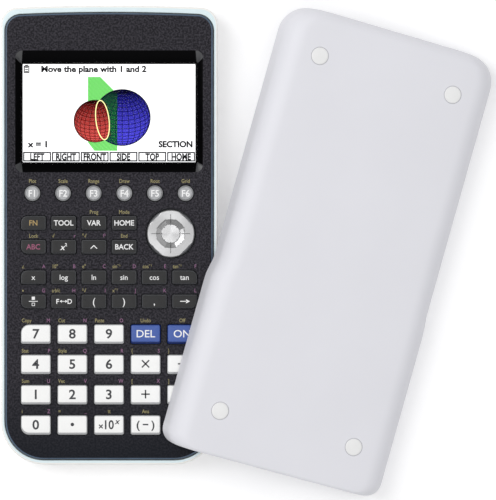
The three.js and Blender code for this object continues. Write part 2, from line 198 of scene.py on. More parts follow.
PALE_CASE = surface("pale_case", srgb(246, 245, 241), rough=0.42, vary=0.02, vary_size=20, bump=0.05)
FACE = surface("dark_face", srgb(32, 31, 36), rough=0.6, vary=0.25, vary_size=1.6, grain=0.75, bump=0.35,
               fleck=srgb(60, 58, 64), specular=0.08, fade=(srgb(20, 24, 31), -92.0, -55.0))
# Face plate's side and lower round in dark navy-teal: a painted bluish reflection. Its upper round in slate blue:
# a painted highlight.
FACE_EDGE_REFLECTION = surface("face_edge_painted_reflection", srgb(16, 24, 32), rough=0.3, vary=0.15, bump=0.03, specular=0.3)
FACE_BEVEL_HIGHLIGHT = surface("face_bevel_painted_highlight", srgb(74, 92, 112), rough=0.3, vary=0.12, bump=0.03)
RECESS_BLACK = surface("recess_black", srgb(3, 3, 4), rough=0.3, vary=0.1, bump=0.01, specular=0.02)
# Lighter grey for the recess's corner faces: a painted highlight.
RECESS_CORNER_HIGHLIGHT = surface("recess_corner_painted_highlight", srgb(40, 41, 44), rough=0.3, vary=0.2, bump=0.02)
# Pale cyan on the white rim's inner band: a painted reflection.
RIM_REFLECTION = surface("rim_edge", srgb(222, 238, 242), rough=0.35, vary=0.02, bump=0.02)
WHITE_KEY = surface("white_key", srgb(243, 243, 242), rough=0.38, vary=0.012, vary_size=5, bump=0.04)
# Darker copy of the white key for its sides and rounded edges: painted shade.
WHITE_KEY_SHADE = surface("white_key_painted_shade", srgb(196, 197, 199), rough=0.45, vary=0.03, bump=0.04)
BLUE_KEY = surface("blue_key", srgb(44, 80, 160), rough=0.35, vary=0.05, bump=0.04)
# Darker copy of the blue key for its sides and rounded edges: painted shade.
BLUE_KEY_SHADE = surface("blue_key_painted_shade", srgb(26, 48, 112), rough=0.4, vary=0.05, bump=0.04)
DARK_KEY = surface("dark_key", srgb(38, 38, 39), rough=0.3, vary=0.12, vary_size=2.5, bump=0.06, specular=0.2)
# Lighter copy of the dark key for its sides and rounded edges: a painted highlight.
DARK_KEY_HIGHLIGHT = surface("dark_key_painted_highlight", srgb(82, 83, 86), rough=0.3, vary=0.1, bump=0.03)
SILVER_DARK = surface("silver_shadow", srgb(96, 97, 100), rough=0.34, vary=0.08, bump=0.03, metallic=0.6)
INK_WHITE = surface("ink_white", srgb(238, 238, 238), rough=0.5, vary=0.02, bump=0.02)
INK_DARK = surface("ink_dark", srgb(40, 42, 47), rough=0.5, vary=0.05, bump=0.02)
INK_GOLD = surface("ink_gold", srgb(150, 140, 92), rough=0.5, vary=0.04, bump=0.02)
INK_PINK = surface("ink_pink", srgb(136, 88, 126), rough=0.5, vary=0.04, bump=0.02)
SHIFT_GOLD = surface("shift_gold", srgb(164, 138, 84), rough=0.5, vary=0.04, bump=0.02)
ALPHA_PINK = surface("alpha_pink", srgb(146, 72, 104), rough=0.5, vary=0.04, bump=0.02)
ROUND_SILVER = surface("round_key_silver", srgb(150, 151, 153), rough=0.3, vary=0.12, vary_size=2, bump=0.02,
                       metallic=0.35)
COVER_SHELL = surface("cover_shell", srgb(228, 228, 234), rough=0.55, vary=0.012, vary_size=30, grain=0.3,
                      bump=0.06)
# Darker grey ring round each foot: a painted shadow in the gap.
FOOT_RING_SHADOW = surface("cover_foot_ring_painted_shadow", srgb(186, 186, 192), rough=0.6, vary=0.05, bump=0.05)
FOOT = surface("cover_foot", srgb(238, 238, 238), rough=0.65, vary=0.02, bump=0.08)
RUBBER = surface("keypad_rubber", srgb(110, 112, 118), rough=0.8, vary=0.05, bump=0.1)
BOARD = surface("circuit_board", srgb(24, 92, 56), rough=0.4, vary=0.2, vary_size=3, bump=0.05)
PANEL = surface("lcd_frame", srgb(176, 180, 186), rough=0.35, vary=0.05, bump=0.02, metallic=0.6)
STEEL = surface("screw_steel", srgb(150, 152, 156), rough=0.35, vary=0.1, grain=0.1, bump=0.05, metallic=0.9)
# Near black: the real colour of dark plastic parts, and painted shade in wells, holes, slots and grooves.
DARK_AND_SHADE = surface("dark_plastic_and_painted_shade", srgb(10, 10, 12), rough=0.6, vary=0.1, bump=0.05)
CELL = surface("cell_sleeve", srgb(52, 56, 64), rough=0.35, vary=0.1, bump=0.03, coat=0.4,
               fade=(srgb(196, 132, 66), 36.0, 36.3))


# ---- mesh helpers --------------------------------------------------------------------------------

class Piece:
    """Collects faces in millimetres, then becomes one object in metres."""

    def __init__(self):
        self.vertices, self.faces, self.slots = [], [], []

    def add(self, vertices, faces, slot=0):
        start = len(self.vertices)
        self.vertices += [tuple(v) for v in vertices]
        self.faces += [tuple(start + i for i in face) for face in faces]
        self.slots += [slot] * len(faces)

    def loft(self, rings, slot=0, close_first=True, close_last=True, ring_slots=None):
        """Rings of equal length, each a list of (x, y, z), joined by quads. The first ring is the lowest."""
        count = len(rings[0])
        vertices = [p for ring in rings for p in ring]
        for r in range(len(rings) - 1):
            a, b = r * count, (r + 1) * count
            band = [(a + i, a + (i + 1) % count, b + (i + 1) % count, b + i) for i in range(count)]
            chosen = ring_slots[r] if ring_slots else slot
            if r == 0:
                self.add(vertices, band, chosen)
                base = len(self.vertices) - len(vertices)
            else:
                self.faces += [tuple(base + i for i in face) for face in band]
                self.slots += [chosen] * len(band)
        if close_first:
            self.faces.append(tuple(base + i for i in reversed(range(count))))
            self.slots.append(ring_slots[0] if ring_slots else slot)
        if close_last:
            last = (len(rings) - 1) * count
            self.faces.append(tuple(base + last + i for i in range(count)))
            self.slots.append(ring_slots[-1] if ring_slots else slot)

    def object(self, name, materials, smooth_degrees=32):
        mesh = bpy.data.meshes.new(name)
        mesh.from_pydata([(x * MM, y * MM, z * MM) for x, y, z in self.vertices], [], self.faces)
        for material in materials:
            mesh.materials.append(material)
        mesh.polygons.foreach_set("material_index", self.slots)
        mesh.polygons.foreach_set("use_smooth", [True] * len(mesh.polygons))
        mesh.set_sharp_from_angle(angle=math.radians(smooth_degrees))
        mesh.validate()
        piece = bpy.data.objects.new(name, mesh)
        bpy.context.scene.collection.objects.link(piece)
        return piece


def at(loop, z):
    return [(x, y, z) for x, y in loop]


def rounded(x, y, width, length, radii, steps=6):
    """Rounded rectangle, anticlockwise, with radii for the top left, top right, bottom right, bottom left."""
    tl, tr, br, bl = radii
    points = []
    for sx, sy, radius, start in ((1, 1, tr, 0), (-1, 1, tl, 90), (-1, -1, bl, 180), (1, -1, br, 270)):
        cx, cy = x + sx * (width / 2 - radius), y + sy * (length / 2 - radius)
        for k in range(steps + 1):
            angle = math.radians(start + 90 * k / steps)
            points.append((cx + radius * math.cos(angle), cy + radius * math.sin(angle)))
    return points


def circle(x, y, radius, steps=48):
    return [(x + radius * math.cos(2 * math.pi * k / steps), y + radius * math.sin(2 * math.pi * k / steps))
            for k in range(steps)]


def body_loop(low, high, radii, inset, steps=14):
    """The calculator's outline between two corners, drawn in by inset. Radii are for the top and the bottom."""
    x0, x1, y0, y1 = low.x + inset, high.x - inset, low.y + inset, high.y - inset
    top, bottom = (max(radius - inset, 0.8) for radius in radii)
    shoulder = y1 - BODY_DOME
    points = []

    def arc(cx, cy, radius, start):
        for k in range(steps + 1):
            angle = math.radians(start + 90 * k / steps)
            points.append((cx + radius * math.cos(angle), cy + radius * math.sin(angle)))

    arc(x1 - top, shoulder - top, top, 0)
    span = x1 - x0 - 2 * top
    for k in range(1, 12):
        t = k / 12
        points.append((x1 - top - span * t, shoulder + BODY_DOME * 4 * t * (1 - t)))
    arc(x0 + top, shoulder - top, top, 90)
    arc(x0 + bottom, y0 + bottom, bottom, 180)
    arc(x1 - bottom, y0 + bottom, bottom, 270)
    return points


def carve(piece, cutters):
    """Cuts the cutters out of the piece and removes them."""
    for cutter in cutters:
        modifier = piece.modifiers.new("cut", "BOOLEAN")
        modifier.operation = "DIFFERENCE"
        modifier.solver = "EXACT"
        modifier.object = cutter
    bpy.context.view_layer.update()
    evaluated = piece.evaluated_get(bpy.context.evaluated_depsgraph_get())
    mesh = bpy.data.meshes.new_from_object(evaluated)
    piece.modifiers.clear()
    for polygon in mesh.polygons:
        polygon.use_smooth = abs(polygon.normal.z) < 0.999
    mesh.set_sharp_from_angle(angle=math.radians(32))
    old = piece.data
    piece.data = mesh
    bpy.data.meshes.remove(old)
    for cutter in cutters:
        bpy.data.objects.remove(cutter)
    return piece


_letters = {}


def lettering(words, cap_height, squeeze=1.0, weight=0.0, align="CENTER", slant=0.0):
    """Vertices and faces of flat, slightly raised text, centred on its own height, in millimetres."""
    key = (words, cap_height, squeeze, weight, align, slant)
    if key not in _letters:
        curve = bpy.data.curves.new("lettering", "FONT")
        curve.body = words
        curve.size = cap_height / 0.72
        curve.align_x = align
        curve.extrude = 0.02
        curve.offset = weight
        curve.shear = slant
        curve.resolution_u = 3
        holder = bpy.data.objects.new("lettering", curve)
        bpy.context.scene.collection.objects.link(holder)
        bpy.context.view_layer.update()
        mesh = bpy.data.meshes.new_from_object(holder.evaluated_get(bpy.context.evaluated_depsgraph_get()))
        vertices = [(v.co.x * squeeze, v.co.y - cap_height / 2, v.co.z) for v in mesh.vertices]
        _letters[key] = (vertices, [tuple(p.vertices) for p in mesh.polygons])
        bpy.data.objects.remove(holder)
        bpy.data.curves.remove(curve)
        bpy.data.meshes.remove(mesh)
    return _letters[key]


def write(piece, words, x, y, z, cap_height, slot, **style):
    vertices, faces = lettering(words, cap_height, **style)
    piece.add([(vx + x, vy + y, vz + z) for vx, vy, vz in vertices], faces, slot)


def place(piece, body, *nodes, slot=None):
    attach(piece, body)
    if nodes:
        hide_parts(*nodes)
    return piece


# ---- keys ----------------------------------------------------------------------------------------

def cap_box(node):
    """Centre, width, length and the two heights of a key's cap."""
    low, high = node_box(node)
    width, length = high.x - low.x - 2 * KEY_LIP, high.y - low.y - 2 * KEY_LIP
    return (low.x + high.x) / 2, (low.y + high.y) / 2, width, length, low.z, high.z


def cap(piece, x, y, width, length, radii, base, top, edge, front_edge, dome, slots):
    """A key cap whose front edge (towards the user) slopes further than the others."""
    body_slot, painted_edge_slot = slots
    profile = [(0, base, 0), (0, top - 1.0, 0), (0.12, top - 0.75, 0.15), (0.3, top - 0.4, 0.55),
               (0.62, top - 0.14, 0.85), (1.0, top, 1.0)]
    rings = []
    for side, z, front in profile:
        left = edge * side
        low = front_edge * front
        w, l = width - 2 * left, length - left - low
        shrink = [max(0.12, r - left) for r in radii]
        rings.append(at(rounded(x, y + (low - left) / 2, w, l, shrink), z))
    centre_y = y + (front_edge - edge) / 2
    for inset, rise in ((0.35, 0.35), (0.8, 0.7), (1.6, 0.93)):
        w, l = width - 2 * (edge + inset), length - edge - front_edge - 2 * inset
        shrink = [max(0.1, r - edge - inset) for r in radii]
        rings.append(at(rounded(x, centre_y, w, l, shrink), top + dome * rise))
    # The sides and rounded edges take the painted edge material: painted shade on white and blue keys, a painted
    # highlight on dark keys.
    bands = [painted_edge_slot] * 5 + [body_slot] * 4
    piece.loft(rings, ring_slots=bands[:len(rings) - 1])
    return centre_y


SMALL_LABELS = {
    "shift": ("FN", 3), "options": ("TOOL", 2), "variables": ("VAR", 2), "menu": ("HOME", 2),
    "alpha": ("ABC", 4), "square": ("x²", 2), "power": ("^", 2), "exit": ("BACK", 2),
    "variable_x": ("x", 2), "log": ("log", 2), "ln": ("ln", 2), "sin": ("sin", 2), "cos": ("cos", 2),
    "tan": ("tan", 2), "fraction": ("", 2), "convert": ("F↔D", 2), "paren_open": ("(", 2),
    "paren_close": (")", 2), "comma": (",", 2), "store": ("→", 2),
}
SMALL_WIDE_CORNERS = {"shift": 0, "alpha": 3, "variable_x": 0, "fraction": 3, "tan": 1, "store": 2}


def small_key(name):
    x, y, width, length, base, top = cap_box("key_" + name)
    radii = [SMALL_CORNER] * 4
    if name in SMALL_WIDE_CORNERS:
        radii[SMALL_WIDE_CORNERS[name]] = SMALL_WIDE
    piece = Piece()
    centre = cap(piece, x, y, width, length, radii, base, top - 0.1, 0.42, 0.55, 0.1, (0, 1))
    words, ink = SMALL_LABELS[name]
    level = top + 0.005
    if name == "square":
        write(piece, "x", x - 0.5, centre - 0.1, level, 2.5, ink, weight=0.05, slant=0.25)
        write(piece, "2", x + 1.0, centre + 0.85, level, 1.25, ink, weight=0.04)
    elif name == "power":
        wedge = [(-1.5, -0.75), (0, 0.75), (1.5, -0.75), (1.1, -0.85), (0, 0.2), (-1.1, -0.85)]
        piece.add([(x + px, centre + py, level + 0.01) for px, py in wedge],
                  [(0, 5, 4, 1), (1, 4, 3, 2)], ink)
    elif name == "fraction":
        bar(piece, x, centre, 3.6, 0.28, level, ink)
        bar(piece, x, centre + 1.25, 1.3, 1.3, level, ink)
        frame_lines(piece, x, centre - 1.25, 1.3, 1.3, 0.22, level, ink)
    elif name == "store":
        bar(piece, x - 0.4, centre, 2.8, 0.34, level, ink)
        piece.add([(x + 0.6, centre - 0.85, level + 0.02), (x + 2.2, centre, level + 0.02),
                   (x + 0.6, centre + 0.85, level + 0.02)], [(0, 1, 2)], ink)
    elif name == "convert":
        write(piece, "F", x - 2.5, centre, level, 2.0, ink, weight=0.05)
        write(piece, "D", x + 2.5, centre, level, 2.0, ink, weight=0.05)
        bar(piece, x, centre, 1.6, 0.26, level, ink)
        for side in (-1, 1):
            piece.add([(x + side * 0.7, centre - 0.6, level + 0.02), (x + side * 1.6, centre, level + 0.02),
                       (x + side * 0.7, centre + 0.6, level + 0.02)],
                      [(0, 1, 2) if side > 0 else (2, 1, 0)], ink)
    else:
        size = 2.9 if name.startswith("paren") or name == "comma" else 2.2
        write(piece, words, x, centre, level, size, ink, squeeze=0.96, weight=0.05 if words.isupper() else 0.02)
    built = piece.object("key_cap_" + name, [DARK_KEY, DARK_KEY_HIGHLIGHT, INK_WHITE, SHIFT_GOLD, ALPHA_PINK])
    place(built, "key_" + name, "key_" + name, slot="dark_key")


BIG_LABELS = {
    "7": "7", "8": "8", "9": "9", "delete": "DEL", "on": "ON", "4": "4", "5": "5", "6": "6", "times": "×",
    "divide": "÷", "1": "1", "2": "2", "3": "3", "plus": "+", "minus": "−", "0": "0", "point": "•",
    "exponent": "×10", "negative": "( − )", "enter": "ENT",
}
BIG_WIDE_CORNERS = {"7": 0, "0": 3, "on": 1, "enter": 2}


def bar(piece, x, y, width, length, z, slot):
    """A printed rectangle."""
    w, l = width / 2, length / 2
    corners = [(x - w, y - l), (x + w, y - l), (x + w, y + l), (x - w, y + l)]
    piece.add(at(corners, z + 0.02), [(0, 1, 2, 3)], slot)


def frame_lines(piece, x, y, width, length, line, z, slot):
    """A printed rectangle drawn as four lines."""
    w, l = width / 2, length / 2
    outer = [(x - w, y - l), (x + w, y - l), (x + w, y + l), (x - w, y + l)]
    inner = [(x - w + line, y - l + line), (x + w - line, y - l + line), (x + w - line, y + l - line),
             (x - w + line, y + l - line)]
    piece.add(at(outer + inner, z + 0.02), [(i, (i + 1) % 4, (i + 1) % 4 + 4, i + 4) for i in range(4)], slot)


def big_key(name):
    x, y, width, length, base, top = cap_box("key_" + name)
    radii = [BIG_CORNER] * 4
    if name in BIG_WIDE_CORNERS:
        radii[BIG_WIDE_CORNERS[name]] = BIG_WIDE
    piece = Piece()
    centre = cap(piece, x, y, width, length, radii, base, top - 0.16, 0.4, 0.95, 0.16, (0, 1))
    level = top + 0.005
    words = BIG_LABELS[name]
    blue = name in ("delete", "on")
    if name in ("plus", "minus", "times", "divide"):
        signs(piece, name, x, centre, level)
    elif name == "point":
        piece.add(at(circle(x, centre, 0.72, 24), level + 0.02), [tuple(range(24))], 2)
    elif name == "exponent":
        write(piece, "×", x - 3.3, centre - 0.8, level, 2.7, 2, weight=0.08)
        write(piece, "10", x - 0.2, centre, level, 3.7, 2, squeeze=0.88, weight=0.1)
        write(piece, "x", x + 3.3, centre + 1.4, level, 2.4, 2, slant=0.25, weight=0.06)
    else:
        size = 3.9
        if blue or name in ("enter", "negative"):
            size = 3.1
        write(piece, words, x, centre, level, size, 2, squeeze=1.0 if name in ("enter", "negative") else 1.06,
              weight=0.03 if blue else 0.11)
    materials = [BLUE_KEY, BLUE_KEY_SHADE, INK_WHITE] if blue else [WHITE_KEY, WHITE_KEY_SHADE, INK_DARK]
    built = piece.object("key_cap_" + name, materials)
    place(built, "key_" + name, "key_" + name, slot="blue_key" if blue else "white_key")


def signs(piece, name, x, y, level):
    """The four arithmetic signs, drawn with straight strokes."""
    reach, line = 3.5, 0.56
    if name in ("plus", "minus", "divide"):
        bar(piece, x, y, reach, line, level, 2)
    if name == "plus":
        bar(piece, x, y, line, reach, level, 2)
    if name == "divide":
        for side in (-1, 1):
            piece.add(at(circle(x, y + side * 1.25, 0.42, 16), level + 0.02), [tuple(range(16))], 2)
    if name == "times":
        reach *= 1.2
        for turn in (45, -45):
            c, s = math.cos(math.radians(turn)), math.sin(math.radians(turn))
            far, side = reach / 2, line / 2
            corners = [(-far, -side), (far, -side), (far, side), (-far, side)]
            piece.add([(x + c * px - s * py, y + s * px + c * py, level + 0.02) for px, py in corners],
                      [(0, 1, 2, 3)], 2)


def round_key(number):
    node = f"key_f{number}"
    x, y, width, _, base, top = cap_box(node)
    radius = width / 2
    profile = [(radius, base), (radius, top - 0.9), (radius - 0.12, top - 0.62), (radius - 0.75, top - 0.22),
               (radius - 0.95, top - 0.2), (radius - 1.25, top - 0.26), (radius - 2.0, top - 0.2)]
    piece = Piece()
    rings = [at(circle(x, y, r), z) for r, z in profile]
    piece.loft(rings, ring_slots=[1, 1, 0, 0, 0, 0])
    write(piece, f"F{number}", x, y, top - 0.17, 2.75, 2, squeeze=0.95, weight=0.08)
    built = piece.object(f"key_cap_f{number}", [ROUND_SILVER, SILVER_DARK, INK_WHITE], 24)
    place(built, node, node, slot="silver_key")


# ---- cursor disc ---------------------------------------------------------------------------------

def turned_metal(name, shade, rough, metallic=0.85, stretch=0.75):
    """Turned silver: fine rings about the disc's centre draw each light out into a bright sector."""
    material = surface(name, srgb(shade, shade, shade + 1), rough=rough, vary=0.05, vary_size=3, grain=0.12,
                       bump=0.02, metallic=metallic)
    tree = material.node_tree
    shader = tree.nodes["Principled BSDF"]
    shader.inputs["Anisotropic"].default_value = stretch
    tangent = tree.nodes.new("ShaderNodeTangent")
    tangent.direction_type = "RADIAL"
    tangent.axis = "Z"
    tree.links.new(tangent.outputs["Tangent"], shader.inputs["Tangent"])
    return material


def cursor_disc():
    """Silver disc: four flats cut across its rim, a dished eight-sided ring and a four-faced centre."""
    low, high = node_box("cursor_pad")
    x, y = (low.x + high.x) / 2, (low.y + high.y) / 2
    rim, top, steps = 9.8, high.z, 144
    radii = [0.9, 1.8, 2.7, 3.4, 3.75, 4.0, 4.2, 4.6, 5.0, 5.4, 5.7, 5.95, 6.2, 6.8, 7.4, 8.0, 8.4, 8.8, 9.1, 9.35,
             9.6, 9.8]

    def polygon(angle, radius, sides, turn, blunt=0.0):
        sector = 2 * math.pi / sides
        off = (angle - turn + sector / 2) % sector - sector / 2
        return radius / math.cos(off) * (1 - blunt) + radius * blunt

    def hub_edge(angle):
        return polygon(angle, 3.75, 8, 0.0, 0.25)

    def dish_edge(angle):
        return polygon(angle, 5.7, 8, 0.0, 0.25)

    def flat_edge(angle):
        return polygon(angle, 8.75, 4, math.pi / 4)

    def height(radius, angle):
        if radius < hub_edge(angle):
            return top - 0.5 + 0.12 * abs(math.sin(2 * angle)) * radius / hub_edge(angle)
        if radius < dish_edge(angle):
            across = (radius - hub_edge(angle)) / (dish_edge(angle) - hub_edge(angle))
            return top - 0.85 + 0.6 * across
        value = top - 0.35 * (radius / rim) ** 2
        value -= 0.5 * max(0, radius - flat_edge(angle))
        return value - 1.2 * max(0, radius - 9.5)

    piece = Piece()
    rings = []
    for radius in radii:
        angles = [2 * math.pi * k / steps for k in range(steps)]
        rings.append([(x + radius * math.cos(a), y + radius * math.sin(a), height(radius, a)) for a in angles])
    skirt = [at(circle(x, y, rim, steps), low.z + 0.8), at(circle(x, y, rim, steps), top - 1.9)]
    piece.loft(skirt + rings[::-1])
    for index, face in enumerate(piece.faces):
        middle = [sum(piece.vertices[i][axis] for i in face) / len(face) for axis in range(3)]
        radius = math.hypot(middle[0] - x, middle[1] - y)
        angle = math.atan2(middle[1] - y, middle[0] - x)
        if radius > 9.75 or middle[2] < top - 1.5:
            piece.slots[index] = 1
        elif radius > flat_edge(angle):
            piece.slots[index] = 2
        elif radius < hub_edge(angle):
            piece.slots[index] = 3
        elif radius < dish_edge(angle):
            piece.slots[index] = 4
    # Four dark strips across the top: painted shade standing for the cross grooves.
    for turn in range(4):
        c, s = math.cos(turn * math.pi / 2), math.sin(turn * math.pi / 2)
        groove = [(4.3, -0.1), (8.0, -0.1), (8.0, 0.1), (4.3, 0.1)]
        levels = [top - 0.06, top - 0.18, top - 0.18, top - 0.06]
        piece.add([(x + c * px - s * py, y + s * px + c * py, z) for (px, py), z in zip(groove, levels)],
                  [(0, 1, 2, 3)], 5)
    # Copies of one turned silver: the hub and the dish a little lighter, a painted highlight; the flats darker,
    # painted shade.
    spun = turned_metal("disc_spun", 168, 0.3)
    hub = turned_metal("disc_hub_painted_highlight", 178, 0.26)
    dish = turned_metal("disc_dish_painted_highlight", 172, 0.22)
    flats = surface("disc_flats_painted_shade", srgb(120, 121, 124), rough=0.32, vary=0.2, vary_size=4, bump=0.02, metallic=0.6)
    built = piece.object("cursor_disc", [spun, SILVER_DARK, flats, hub, dish, DARK_AND_SHADE], 16)
    place(built, "cursor_pad", "cursor_pad", slot="silver_key")


# ---- front case ----------------------------------------------------------------------------------

FACE_INKS = [FACE, FACE_EDGE_REFLECTION, FACE_BEVEL_HIGHLIGHT, DARK_AND_SHADE, RECESS_BLACK, RECESS_CORNER_HIGHLIGHT]


def key_wells():
    """Cutters for every key's well and for the cursor disc's."""
    piece = Piece()
    _, face_high = node_box("front_case")
    z0, z1 = face_high.z - FACE_THICK - 1, face_high.z + 1
    grow = KEY_ROOM
    # Slot 3 leaves the walls of the wells near black: painted shade in the gaps round the keys and the disc.
    for names, corner, wide, corners in ((SMALL_LABELS, SMALL_CORNER, SMALL_WIDE, SMALL_WIDE_CORNERS),
                                         (BIG_LABELS, BIG_CORNER, BIG_WIDE, BIG_WIDE_CORNERS)):
        for name in names:
            x, y, width, length, _, _ = cap_box("key_" + name)
            radii = [corner + grow] * 4
            if name in corners:
                radii[corners[name]] = wide + grow
            loop = rounded(x, y, width + 2 * grow, length + 2 * grow, radii, 5)
            piece.loft([at(loop, z0), at(loop, z1)], slot=3)
    for number in range(1, 7):
        x, y, width, _, _, _ = cap_box(f"key_f{number}")
        loop = circle(x, y, width / 2 + grow, 40)
        piece.loft([at(loop, z0), at(loop, z1)], slot=3)
    low, high = node_box("cursor_pad")
    loop = circle((low.x + high.x) / 2, (low.y + high.y) / 2, 10.4, 72)
    piece.loft([at(loop, z0), at(loop, z1)], slot=3)
    return piece.object("key_wells", FACE_INKS)


def display_recess():
    """Cutter for the sloping walls around the display."""
    window_low, window_high = node_box("display_window")
    _, face_high = node_box("front_case")
    x0, x1 = window_low.x + WINDOW_MARGIN, window_high.x - WINDOW_MARGIN
    y0, y1 = window_low.y + WINDOW_MARGIN, window_high.y - WINDOW_MARGIN
    slopes = RECESS_SLOPES
    wide = rounded((x0 + x1) / 2, (y0 + y1 + slopes["top"] - slopes["bottom"]) / 2, x1 - x0 + 2 * slopes["side"],
                   y1 - y0 + slopes["top"] + slopes["bottom"], [3.0] * 4, 5)
    narrow = rounded((x0 + x1) / 2, (y0 + y1) / 2, x1 - x0, y1 - y0, [0.5] * 4, 5)
    under = face_high.z - FACE_THICK
    piece = Piece()
    piece.loft([at(narrow, under - 1), at(narrow, under + 0.15), at(wide, face_high.z), at(wide, face_high.z + 1)],
               slot=4)
    # Faces at the wide loop's rounded corners take the lighter grey: a painted highlight.
    corner_steps = 6
    for index in range(len(wide), 2 * len(wide)):
        if index % corner_steps != corner_steps - 1:
            piece.slots[index] = 5
    return piece.object("display_recess", FACE_INKS)


def front_case():
    low, high = node_box("front_case")
    top, under = high.z, low.z
    profile = [(0, under), (0, top - 0.7), (0.12, top - 0.42), (0.4, top - 0.14), (0.7, top - 0.03), (0.95, top)]
    rings = [at(body_loop(low, high, FACE_RADII, inset), z) for inset, z in profile]
    piece = Piece()
    # The side and lower round take the painted bluish reflection, the upper round the painted highlight.
    piece.loft(rings, ring_slots=[1, 1, 2, 2, 0])
    built = piece.object("face_plate", FACE_INKS)
    carve(built, [key_wells(), display_recess()])
    place(built, "calculator", "front_case", slot="dark_face")


LEGENDS = [
    # key, gold words at the left, pink words at the right
    ("f1", "Plot", ""), ("f2", "Scale", ""), ("f3", "Range", ""), ("f4", "Draw", ""), ("f5", "Root", ""),
    ("f6", "Grid", ""), ("variables", "Prog", ""), ("menu", "Mode", ""), ("alpha", "Lock", ""),
    ("square", "√", "r"), ("power", "ˣ√", "θ"), ("exit", "End", ""), ("variable_x", "∠", "A"),
    ("log", "10ˣ", "B"), ("ln", "eˣ", "C"), ("sin", "sin⁻¹", "D"), ("cos", "cos⁻¹", "E"), ("tan", "tan⁻¹", "F"),
    ("fraction", "▪", "G"), ("convert", "a⋅b/c", "H"), ("paren_open", "³√", "I"), ("paren_close", "x⁻¹", "J"),
    ("comma", "", "K"), ("store", "", "L"), ("7", "Copy", "M"), ("8", "Cut", "N"), ("9", "Paste", "O"),
    ("delete", "Undo", ""), ("on", "Off", ""), ("4", "Stat", "P"), ("5", "Style", "Q"), ("6", "", "R"),
    ("times", "{", "S"), ("divide", "}", "T"), ("1", "Sum", "U"), ("2", "Vec", "V"), ("3", "", "W"),
    ("plus", "[", "X"), ("minus", "]", "Y"), ("0", "i", "Z"), ("point", "=", "_"), ("exponent", "π", ""),
    ("negative", "Ans", ""),
]


def face_legends():
    """Small words printed on the face above the keys, one piece for each ink."""
    _, face_high = node_box("front_case")
    level = face_high.z
    gold, pink = Piece(), Piece()
    for name, left, right in LEGENDS:
        x, y, width, length, _, _ = cap_box("key_" + name)
        line = y + length / 2 + (1.75 if name.startswith("f") and len(name) == 2 else 1.65)
        if left and right:
            write(gold, left, x - width / 2 + 0.3, line, level, 1.6, 0, squeeze=0.82, weight=0.015, align="LEFT")
        elif left:
            write(gold, left, x, line, level, 1.6, 0, squeeze=0.85, weight=0.015)
        if right:
            write(pink, right, x + width / 2 - 0.3, line, level, 1.6, 0, squeeze=0.85, weight=0.015, align="RIGHT")
    place(gold.object("legends_gold", [INK_GOLD]), "calculator", slot="dark_face")
    place(pink.object("legends_pink", [INK_PINK]), "calculator", slot="dark_face")


# ---- display -------------------------------------------------------------------------------------

SCREEN = {"width": 71.0, "height": 40.3}
LINE_STEP = 0.0003           # each printed line lies this much above the one before


def screen_centre():
    low, high = node_box("display_window")
    return (low.x + high.x) / 2 - 0.1, (low.y + high.y) / 2 - 0.1


def clipped_disc(radius, cut_x, steps=60):
    """The part of a disc about the origin that lies left of cut_x."""
    half = math.acos(max(-1, min(1, cut_x / radius)))
    return [(radius * math.cos(half + (2 * math.pi - 2 * half) * k / steps),
             radius * math.sin(half + (2 * math.pi - 2 * half) * k / steps)) for k in range(steps + 1)]


def ribbon(piece, points, line, z, slot, closed=False):
    """A thin flat line through points."""
    left, right = [], []
    count = len(points)
    for i, (px, py) in enumerate(points):
        ax, ay = points[(i - 1) % count] if closed or i else points[i]
        bx, by = points[(i + 1) % count] if closed or i < count - 1 else points[i]
        length = math.hypot(bx - ax, by - ay) or 1.0
        nx, ny = -(by - ay) / length * line / 2, (bx - ax) / length * line / 2
        left.append((px + nx, py + ny, z))
        right.append((px - nx, py - ny, z))
    spans = range(count if closed else count - 1)
    piece.add(left + right, [(i, i + count, (i + 1) % count + count, (i + 1) % count) for i in spans], slot)


def globe_lines(radius, tilt_degrees, meridians, parallels):
    """Front half of a globe's meridians and parallels, seen from a little above."""
    tilt = math.radians(tilt_degrees)
    lines = []

    def project(latitude, longitude):
        x = radius * math.cos(latitude) * math.sin(longitude)
        depth = radius * math.cos(latitude) * math.cos(longitude)
        up = radius * math.sin(latitude)
        return x, up * math.cos(tilt) - depth * math.sin(tilt), up * math.sin(tilt) + depth * math.cos(tilt)

    def visible(track):
        run = []
        for x, y, depth in track:
            if depth > 0:
                run.append((x, y))
            else:
                if len(run) > 1:
                    lines.append(run)
                run = []
        if len(run) > 1:
            lines.append(run)

    for m in range(meridians):
        longitude = 2 * math.pi * m / meridians
        visible([project(math.radians(-88 + 8 * k), longitude) for k in range(23)])
    for p in range(1, parallels):
        latitude = math.pi * (p / parallels - 0.5)
        visible([project(latitude, 2 * math.pi * k / 48 + math.pi) for k in range(49)])
    return lines


